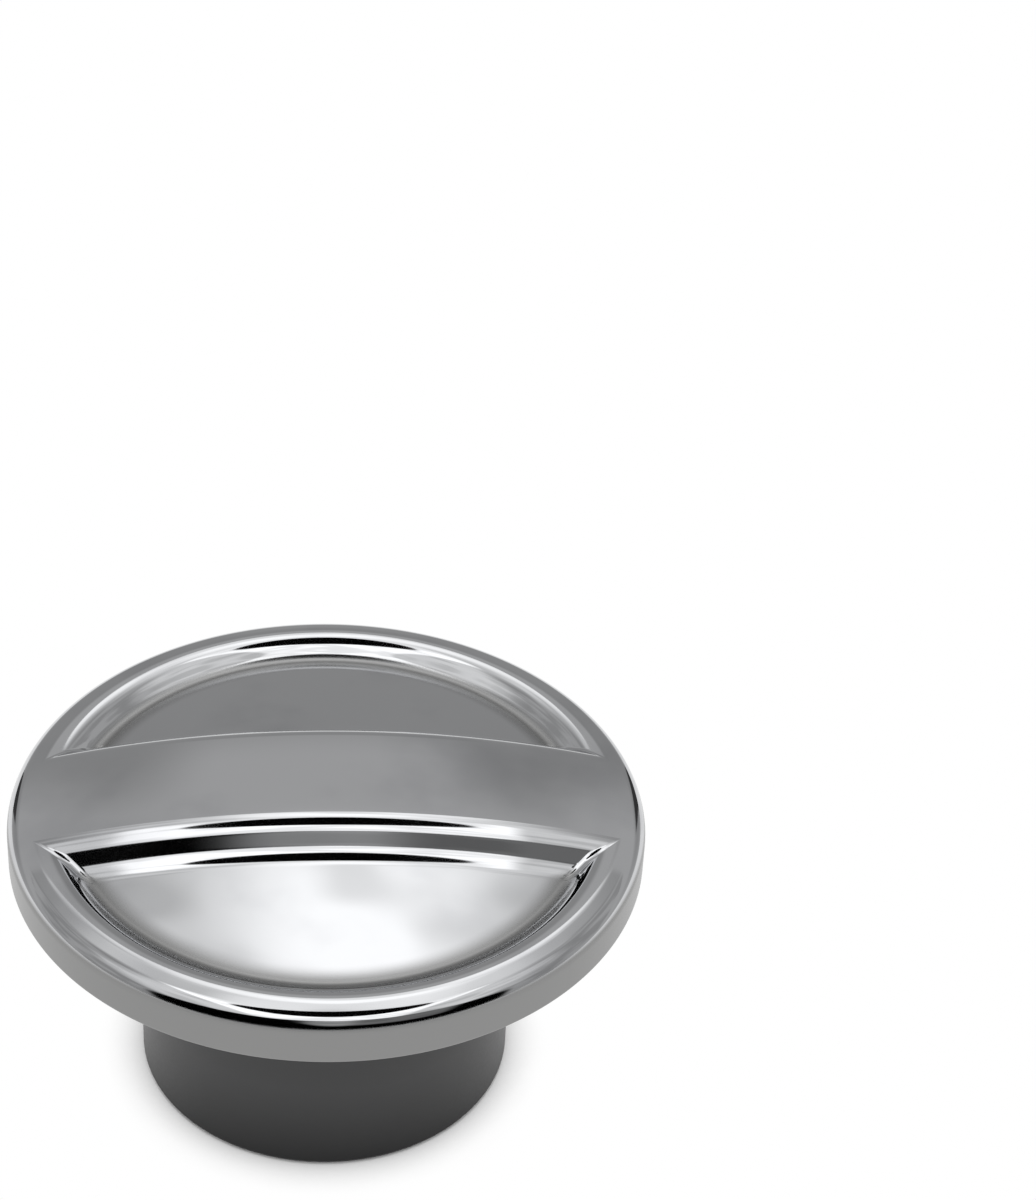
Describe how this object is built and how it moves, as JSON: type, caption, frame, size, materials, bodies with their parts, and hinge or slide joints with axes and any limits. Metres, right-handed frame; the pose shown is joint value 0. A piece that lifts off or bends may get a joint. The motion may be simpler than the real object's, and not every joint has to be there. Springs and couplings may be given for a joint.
{
  "type": "stand mixer hub cover",
  "caption": "Round push-in cover for the accessory socket of a stand mixer: a crowned chrome cap with finger recesses and a grip bar, on a dark cylindrical sleeve.",
  "frame": {"origin": "centre of the sleeve's flat end, on which the cover stands", "axes": "+Z along the sleeve's axis, out through the middle of the cap's face; X along the grip bar; Y across the two finger recesses"},
  "size_m": [0.058, 0.058, 0.0322],
  "materials": {
    "chrome_plate": "polished plating on the face, satin on the side wall",
    "dark_rubber": "smooth matte moulding"
  },
  "bodies": {
    "root": {"cap": "chrome_plate", "sleeve": "dark_rubber"}
  },
  "joints": []
}
